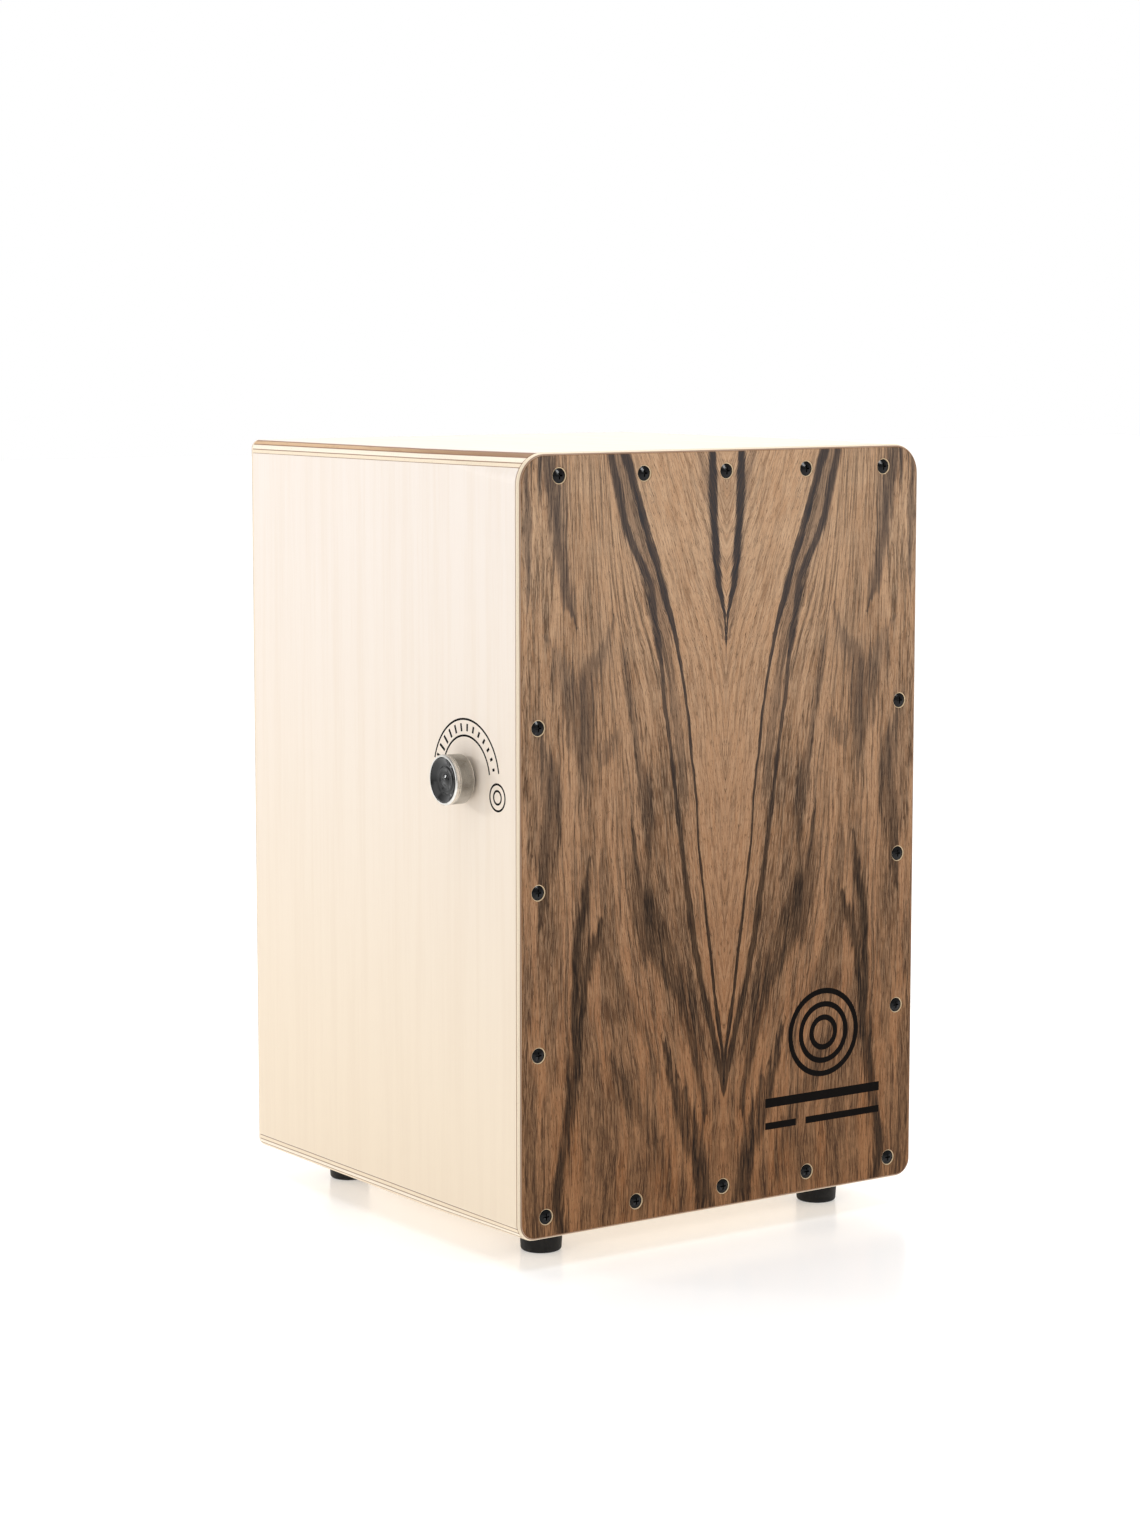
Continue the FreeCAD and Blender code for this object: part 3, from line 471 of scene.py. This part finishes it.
def metal_material(name, color, worn, roughness, scratch=(0.4, 6.0, 6.0)):
    """Metal with fine marks from tools and handling."""
    graph = Graph(name)
    marks = graph.noise(graph.scaled(graph.position, scratch), 1.0, 4.0, 0.7)
    stains = graph.noise(graph.position, 0.12, 3.0, 0.6)
    shade = graph.mix(graph.ramp(stains, 0.35, 0.7), color, worn)
    graph.bump(marks, 0.12, 0.05)
    return graph.finish(shade, graph.ramp(marks, 0.25, 0.75, roughness - 0.08, roughness + 0.10), 1.0)


def soft_material(name, color, dusty, roughness, grain_size, depth, shine=0.25):
    """Rubber, felt, plastic, lacquer or ink with a fine surface grain."""
    graph = Graph(name)
    grain = graph.noise(graph.position, 1 / grain_size, 4.0, 0.7)
    dust = graph.noise(graph.position, 0.15, 3.0, 0.6)
    shade = graph.mix(graph.ramp(dust, 0.45, 0.75, 0.0, 0.5), color, dusty)
    graph.bump(grain, 0.4, depth)
    rough = graph.ramp(grain, 0.2, 0.8, roughness - 0.06, roughness + 0.06)
    return graph.finish(shade, rough, Specular_IOR_Level=shine)


# ---------------------------------------------------------------- new pieces

def mesh_piece(name, mesh_maker, material, body):
    """A new piece on a body, with a mesh that mesh_maker fills in millimetres."""
    shape = bmesh.new()
    mesh_maker(shape)
    bmesh.ops.recalc_face_normals(shape, faces=shape.faces)
    bmesh.ops.scale(shape, vec=(MM, MM, MM), verts=shape.verts)
    mesh = bpy.data.meshes.new(name)
    shape.to_mesh(mesh)
    shape.free()
    piece = bpy.data.objects.new(name, mesh)
    bpy.context.collection.objects.link(piece)
    mesh.materials.append(material)
    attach(piece, body)
    return piece


# ---------------------------------------------------------------- printed marks

PRINT_SUNK = 0.1
PRINT_PROUD = 0.015


def ribbon(shape, line, width, out, sideways, closed=False):
    """A printed line through points, with sideways(n) the way across it at each point."""
    rings = []
    for n, point in enumerate(line):
        across = Vector(sideways(n)) * width / 2
        low = point - Vector(out) * PRINT_SUNK
        high = point + Vector(out) * PRINT_PROUD
        corners = (low - across, low + across, high + across, high - across)
        rings.append([shape.verts.new(corner) for corner in corners])
    pairs = list(zip(rings, rings[1:])) + ([(rings[-1], rings[0])] if closed else [])
    for first, second in pairs:
        for n in range(4):
            shape.faces.new((first[n], first[(n + 1) % 4], second[(n + 1) % 4], second[n]))
    if not closed:
        shape.faces.new(rings[0])
        shape.faces.new(rings[-1])


DIAL_INNER = 26.2
DIAL_OUTER = 36.4
DIAL_LINE = 1.3
DIAL_FROM = -75
DIAL_TO = 80
DIAL_STEP = 5
DIAL_TICKS = 12
DIAL_TICK_WIDTH = 1.8
DIAL_TICK_HALF = 1.2
DIAL_TICK_GROWTH = 2.2
DIAL_RING = 8.2
DIAL_RING_PLACE = (0.0, -34.4, -8.4)
DIAL_RING_STEP = 10


def dial_direction(degrees):
    """The way out from the knob at that many degrees clockwise from the top, seen from outside."""
    turn = math.radians(degrees)
    return Vector((0, -math.sin(turn), math.cos(turn)))


def dial(shape):
    """A plain scale: two arcs with ticks that grow shorter between them, and a double ring."""
    centre = Vector((X_LEFT, SHAFT_Y, SHAFT_Z))
    out = (-1, 0, 0)
    for radius in (DIAL_INNER, DIAL_OUTER):
        ways = [dial_direction(a) for a in range(DIAL_FROM, DIAL_TO + 1, DIAL_STEP)]
        ribbon(shape, [centre + w * radius for w in ways], DIAL_LINE, out, lambda n: ways[n])
    for n in range(DIAL_TICKS + 1):
        way = dial_direction(DIAL_FROM + DIAL_STEP + (DIAL_TO - DIAL_FROM - 2 * DIAL_STEP) * n / DIAL_TICKS)
        half = DIAL_TICK_HALF + DIAL_TICK_GROWTH * (1 - n / DIAL_TICKS)
        middle = centre + way * (DIAL_INNER + DIAL_OUTER) / 2
        side = way.cross(Vector(out))
        ribbon(shape, [middle - way * half, middle + way * half], DIAL_TICK_WIDTH, out, lambda n: side)
    ring_centre = centre + Vector(DIAL_RING_PLACE)
    for radius in (DIAL_RING, DIAL_RING / 2):
        ways = [dial_direction(a) for a in range(0, 360, DIAL_RING_STEP)]
        ribbon(shape, [ring_centre + w * radius for w in ways], DIAL_LINE, out, lambda n: ways[n], True)


MARK_X = 236.0
MARK_Z = 104.0
MARK_LINE = 3.6
MARK_RADII = (27.0, 27.0 * 0.68, 27.0 * 0.36)
MARK_RING_STEP = 6
# The bars below the rings: from, to, how far down, width.
MARK_BARS = ((-47, 47, 41, 6), (-47, -22, 56, 4.5), (-14, 47, 56, 4.5))


def tapa_mark(shape):
    """A plain emblem: three rings inside each other, with three bars below."""
    centre = Vector((X_LEFT + MARK_X, Y_FRONT, Z_BOTTOM + MARK_Z))
    out = (0, -1, 0)
    turns = [math.radians(a) for a in range(0, 360, MARK_RING_STEP)]
    ways = [Vector((math.sin(turn), 0, math.cos(turn))) for turn in turns]
    for radius in MARK_RADII:
        ribbon(shape, [centre + w * radius for w in ways], MARK_LINE, out, lambda n: ways[n], True)
    for x0, x1, drop, width in MARK_BARS:
        low = centre - Vector((0, 0, drop))
        ribbon(shape, [low + Vector((x, 0, 0)) for x in (x0, x1)], width, out, lambda n: (0, 0, 1))


# ---------------------------------------------------------------- knurl and snare coils

KNOB_RIM = 2.6
KNOB_GROOVE = 0.8
KNOB_BARREL_RADIUS = 15.1

KNURL_TEETH = 66
KNURL_DEPTH = 0.32
KNURL_SUNK = 0.03
KNURL_MARGIN = 0.5
KNURL_STEPS_AROUND = 396
KNURL_STEPS_ALONG = 54
KNURL_ROWS = 8
GROOVE_SHARE = 0.45
SET_SCREW_ROOM = 2.6


def knurl_height(around, along):
    """How far the knurl stands out, from 0 in its two sets of slanted grooves to 1 between them."""
    height = 1.0
    for slant in (-1, 1):
        phase = (around * KNURL_TEETH + slant * along * KNURL_ROWS) % 1.0
        height = min(height, abs(phase - 0.5) * 2 / GROOVE_SHARE)
    return min(height, 1.0)


def knurl_ring(shape, x, along, at_end):
    """One ring of corners round the barrel, without teeth at an end of the knurl."""
    ring = []
    for step in range(KNURL_STEPS_AROUND):
        high = 0.0 if at_end else knurl_height(step / KNURL_STEPS_AROUND, along)
        radius = KNOB_BARREL_RADIUS - KNURL_SUNK + KNURL_DEPTH * high
        turn = 2 * math.pi * step / KNURL_STEPS_AROUND
        y = SHAFT_Y + radius * math.sin(turn)
        z = SHAFT_Z + radius * math.cos(turn)
        ring.append(shape.verts.new((x, y, z)))
    return ring


def over_set_screw(place):
    """Whether a place on the barrel lies over the hole of the set screw, which points down."""
    away = math.hypot(place.x - SET_SCREW_X, place.y - SHAFT_Y)
    return place.z < SHAFT_Z and away < SET_SCREW_ROOM


def knurl(shape):
    """The diamond knurl round the knob's barrel, open over the set screw's hole."""
    x0 = BARREL_LOW.x + KNOB_RIM + KNOB_GROOVE + KNURL_MARGIN
    x1 = BARREL_HIGH.x - 2 * KNURL_MARGIN
    rings = []
    for row in range(KNURL_STEPS_ALONG + 1):
        along = row / KNURL_STEPS_ALONG
        at_end = row in (0, KNURL_STEPS_ALONG)
        rings.append(knurl_ring(shape, x0 + (x1 - x0) * along, along, at_end))
    for low, high in zip(rings, rings[1:]):
        for n in range(KNURL_STEPS_AROUND):
            corners = (low[n], low[n - 1], high[n - 1], high[n])
            middle = sum((c.co for c in corners), Vector()) / 4
            if not over_set_screw(middle):
                shape.faces.new(corners)


STRAND_RADIUS = 0.9
# Corners further apart than this belong to two different strands.
STRAND_GAP = 2.5

COIL_PITCH = 2.0
COIL_WIRE = 0.26
COIL_STEPS = 9
COIL_SIDES = 5


def strand_axes(name):
    """The foot and tip of each straight strand of a CAD node, in millimetres."""
    places = [v.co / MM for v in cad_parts[name].data.vertices]
    strands = []
    for place in sorted(places, key=lambda p: p.x):
        if not strands or place.x - strands[-1][0].x > STRAND_GAP:
            strands.append([])
        strands[-1].append(place)
    axes = []
    for strand in strands:
        middle = (min(p.z for p in strand) + max(p.z for p in strand)) / 2
        ends = [[p for p in strand if p.z < middle], [p for p in strand if p.z >= middle]]
        axes.append([sum(end, Vector()) / len(end) for end in ends])
    return axes


def coil(shape, foot, tip, radius):
    """A coiled wire from foot to tip inside that radius."""
    axis = (tip - foot).normalized()
    first = Vector((1, 0, 0))
    second = axis.cross(first)
    length = (tip - foot).length - 2 * COIL_WIRE
    steps = int(length / COIL_PITCH * COIL_STEPS)
    rings = []
    for step in range(steps + 1):
        turn = 2 * math.pi * step / COIL_STEPS
        out = first * math.cos(turn) + second * math.sin(turn)
        middle = foot + axis * (COIL_WIRE + length * step / steps) + out * (radius - COIL_WIRE)
        ring = []
        for side in range(COIL_SIDES):
            lean = 2 * math.pi * side / COIL_SIDES
            ring.append(shape.verts.new(middle + (out * math.cos(lean) + axis * math.sin(lean)) * COIL_WIRE))
        rings.append(ring)
    for low, high in zip(rings, rings[1:]):
        for n in range(COIL_SIDES):
            shape.faces.new((low[n], low[n - 1], high[n - 1], high[n]))
    shape.faces.new(rings[0])
    shape.faces.new(rings[-1])


def make_coils(side, material):
    """Coiled snare wires in place of the straight strands of one set."""
    name = "snare_wires_" + side
    axes = strand_axes(name)

    def wires(shape):
        for foot, tip in axes:
            coil(shape, foot, tip, STRAND_RADIUS)

    piece = mesh_piece("snare_coils_" + side, wires, material, "snare_control")
    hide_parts(name)


# ---------------------------------------------------------------- dressing the CAD nodes

UPRIGHT_GRAIN = (0.16, 0.16, 0.005)
LENGTHWAYS_GRAIN = (0.16, 0.005, 0.16)


def dress_panels():
    """The five plywood panels of the box, with the depths of their glue lines."""
    lines = (FACE_VENEER, 3.0, 6.2, 8.9)
    top = plywood_material("ply_top", "z", Z_TOP, -1, lines, LENGTHWAYS_GRAIN, top_first_ply)
    dress(top, "top_panel")
    lines = (FACE_VENEER, 3.0, 5.6, 8.3)
    dress(plywood_material("ply_bottom", "z", Z_BOTTOM, 1, lines, LENGTHWAYS_GRAIN), "bottom_panel")
    lines = (3.0, 6.0)
    dress(plywood_material("ply_left", "x", X_LEFT, 1, lines, UPRIGHT_GRAIN), "side_panel_left")
    dress(plywood_material("ply_right", "x", X_RIGHT, -1, lines, UPRIGHT_GRAIN), "side_panel_right")
    lines = (FACE_VENEER, 1.8, 3.4)
    dress(plywood_material("ply_back", "y", Y_BACK, -1, lines, UPRIGHT_GRAIN), "back_panel")


def dress_tapa():
    """The playing face: plywood core, streaked veneer and black screws."""
    lines = (0.5, 3.3)
    # the core gets painted shade in the screws' countersinks
    core = plywood_material("ply_tapa", "y", Y_CORE_BACK, -1, lines, UPRIGHT_GRAIN, inner=shaded_countersinks)
    dress(core, "tapa_core")
    dress(veneer_material(), "tapa_veneer")
    black = soft_material("black_lacquer", srgb(8, 8, 9), srgb(14, 13, 13), 0.14, 0.9, 0.01, 0.22)
    dress(black, "tapa_screws")


def dress_timber():
    """Softwood battens, and the beech bar, block and pin."""
    pine = (srgb(226, 196, 148), srgb(196, 156, 104))
    for end in ("front", "back"):
        across = timber_material("pine_across_" + end, *pine, (0.008, 0.25, 0.25), 0.6)
        dress(across, end + "_batten_top", end + "_batten_bottom")
        along = timber_material("pine_upright_" + end, *pine, (0.25, 0.25, 0.008), 0.6)
        dress(along, end + "_batten_left", end + "_batten_right")
    beech = (srgb(214, 170, 128), srgb(180, 128, 88))
    dress(timber_material("beech", *beech, (0.01, 0.3, 0.3), 0.5), "snare_bar", "bearing_block", "stop_pin")


def dress_soft_parts():
    """Rubber feet and sleeve, felt washer, nylon bushing and the knob's glossy cap."""
    rubber = soft_material("rubber", srgb(22, 22, 23), srgb(44, 43, 42), 0.55, 0.35, 0.04)
    feet = [row + "_" + side for row in ("front", "back") for side in ("left", "right")]
    dress(rubber, *["rubber_foot_" + foot for foot in feet], "stop_pin_sleeve")
    dress(soft_material("felt", srgb(20, 19, 19), srgb(38, 36, 34), 0.9, 0.25, 0.2), "knob_felt_washer")
    dress(soft_material("nylon", srgb(30, 30, 31), srgb(46, 46, 46), 0.45, 0.6, 0.02), "shaft_bushing")
    dress(soft_material("cap_plastic", srgb(10, 11, 11), srgb(20, 22, 21), 0.14, 0.8, 0.01, 0.5), "knob_cap")


def dress_metal(steel):
    """Steel shaft, fasteners and wires, brass snare ends and the knob's bright barrel."""
    dress(steel, "foot_washers", "foot_screws", "knob_set_screw", "snare_shaft", "shaft_collar",
          "collar_set_screw", "snare_bar_screws", "snare_clamp_screws", "bearing_block_screws",
          "snare_wires_left", "snare_wires_right")
    brass = metal_material("brass", srgb(214, 178, 96), srgb(180, 140, 72), 0.3)
    dress(brass, "snare_end_plate_left", "snare_end_plate_right",
          "snare_clamp_strip_left", "snare_clamp_strip_right")
    dress(metal_material("knob_rim", srgb(232, 230, 226), srgb(205, 202, 196), 0.16), "knob_barrel")


# ---------------------------------------------------------------- stage, light and camera

CAMERA_PLACE = (-1312.0, -1878.0, 572.0)
CAMERA_AZIMUTH = -34.98
CAMERA_ELEVATION = 7.03
CAMERA_LENS = 82.78
SENSOR = 36.0
FLOOR_HALF = 12.0
WORLD_BEHIND = 0.42


def make_camera():
    """The camera, far enough away for mild perspective."""
    data = bpy.data.cameras.new("camera")
    data.lens = CAMERA_LENS
    data.sensor_width = SENSOR
    data.clip_end = 50.0
    camera = bpy.data.objects.new("camera", data)
    camera.location = Vector(CAMERA_PLACE) * MM
    camera.rotation_euler = (math.radians(90 - CAMERA_ELEVATION), 0.0, math.radians(CAMERA_AZIMUTH))
    bpy.context.collection.objects.link(camera)
    bpy.context.scene.camera = camera


def make_floor():
    """A white floor with a soft sheen, which glows a little to meet the white background."""
    mesh = bpy.data.meshes.new("floor")
    corners = [(x * FLOOR_HALF, y * FLOOR_HALF, 0) for x, y in ((-1, -1), (1, -1), (1, 1), (-1, 1))]
    mesh.from_pydata(corners, [], [(0, 1, 2, 3)])
    floor = bpy.data.objects.new("floor", mesh)
    bpy.context.collection.objects.link(floor)
    graph = Graph("floor")
    shade = graph.mix(graph.noise(graph.position, 0.004, 2.0), srgb(240, 240, 240), srgb(244, 244, 244))
    glow = {"Emission_Color": (1.0, 0.996, 0.985, 1.0), "Emission_Strength": 0.34}
    mesh.materials.append(graph.finish(shade, 0.2, Specular_IOR_Level=0.4, **glow))


def area_light(name, place, target, size, power):
    """A square soft light at place that looks at target, in metres."""
    data = bpy.data.lights.new(name, "AREA")
    data.size = size
    data.energy = power
    light = bpy.data.objects.new(name, data)
    light.location = place
    light.rotation_euler = (Vector(target) - Vector(place)).to_track_quat("-Z", "Y").to_euler()
    bpy.context.collection.objects.link(light)


def make_surroundings():
    """A white world that is dimmer behind the camera."""
    world = bpy.data.worlds.new("surroundings")
    bpy.context.scene.world = world
    world.use_nodes = True
    tree = world.node_tree
    background = tree.nodes["Background"]
    background.inputs["Color"].default_value = (1.0, 1.0, 1.0, 1.0)
    direction = tree.nodes.new("ShaderNodeTexCoord").outputs["Generated"]
    ahead = tree.nodes.new("ShaderNodeVectorMath")
    ahead.operation = "DOT_PRODUCT"
    azimuth = math.radians(CAMERA_AZIMUTH)
    ahead.inputs[1].default_value = (-math.sin(azimuth), math.cos(azimuth), 0.0)
    tree.links.new(direction, ahead.inputs[0])
    fade = tree.nodes.new("ShaderNodeMapRange")
    fade.interpolation_type = "SMOOTHSTEP"
    tree.links.new(ahead.outputs["Value"], fade.inputs["Value"])
    fade.inputs["From Min"].default_value = -0.1
    fade.inputs["From Max"].default_value = 0.7
    fade.inputs["To Min"].default_value = WORLD_BEHIND
    fade.inputs["To Max"].default_value = 1.0
    tree.links.new(fade.outputs[0], background.inputs["Strength"])


def make_lights():
    """Four soft lights."""
    area_light("overhead", (0.0, 0.0, 2.4), (0.0, 0.0, 0.2), 2.2, 31.0)
    area_light("left", (-2.2, 0.5, 0.9), (0.0, 0.0, 0.25), 1.2, 4.5)
    area_light("back left", (-1.5, 1.5, 0.75), (-0.15, -0.1, 0.3), 0.3, 8.0)
    area_light("front", (0.9, -2.5, 1.3), (0.0, 0.0, 0.25), 0.5, 14.0)


steel = metal_material("zinc_steel", srgb(190, 190, 188), srgb(160, 158, 154), 0.35)
dress_panels()
dress_tapa()
dress_timber()
dress_soft_parts()
dress_metal(steel)
ink = soft_material("print_ink", srgb(14, 10, 8), srgb(20, 15, 12), 0.6, 0.4, 0.02, 0.05)
mesh_piece("knob_dial_print", dial, ink, "box")
mesh_piece("tapa_mark_print", tapa_mark, ink, "box")
knurled = metal_material("knob_knurling", srgb(182, 175, 165), srgb(152, 145, 134), 0.32)
mesh_piece("knob_knurl", knurl, knurled, "snare_control")
for side in ("left", "right"):
    make_coils(side, steel)
make_camera()
make_floor()
make_surroundings()
make_lights()
bpy.context.scene.view_settings.view_transform = "Standard"
